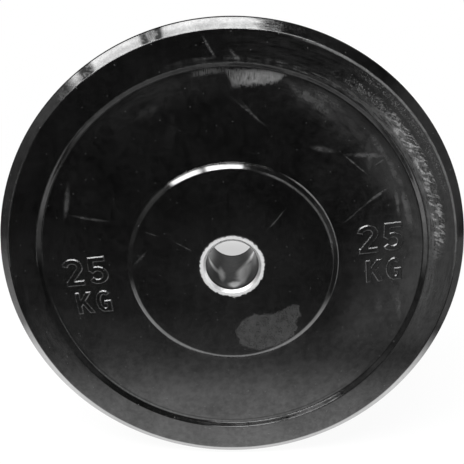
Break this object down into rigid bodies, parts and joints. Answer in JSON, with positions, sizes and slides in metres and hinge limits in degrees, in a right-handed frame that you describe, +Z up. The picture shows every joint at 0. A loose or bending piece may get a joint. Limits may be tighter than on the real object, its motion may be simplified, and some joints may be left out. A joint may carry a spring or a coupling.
{
  "type": "bumper plate",
  "caption": "Thick round rubber weight plate with chamfered rims, a sunk web, a raised hub and a steel-lined bore for a barbell sleeve.",
  "frame": {"origin": "centre of the bore at mid thickness, which is the centre of the plate", "axes": "+Y along the bore from the front face to the back face, +Z up with the plate standing on its tread, +X to the right seen from the front"},
  "size_m": [0.4496, 0.098, 0.4496],
  "materials": {
    "moulded_rubber": "smooth black moulded rubber, glossy from a release coat, with dusty scuffs",
    "sleeve_steel": "turned bright steel, drawn bore left darker and streaked",
    "flange_steel": "hot-rolled steel, drilled, hidden in the rubber",
    "weld_metal": "rippled weld bead, hidden in the rubber"
  },
  "bodies": {
    "root": {"rubber_body": "moulded_rubber", "bar_sleeve": "sleeve_steel", "back_anchor_flange": "flange_steel", "front_anchor_flange": "flange_steel", "back_flange_weld": "weld_metal", "front_flange_weld": "weld_metal"}
  },
  "joints": []
}
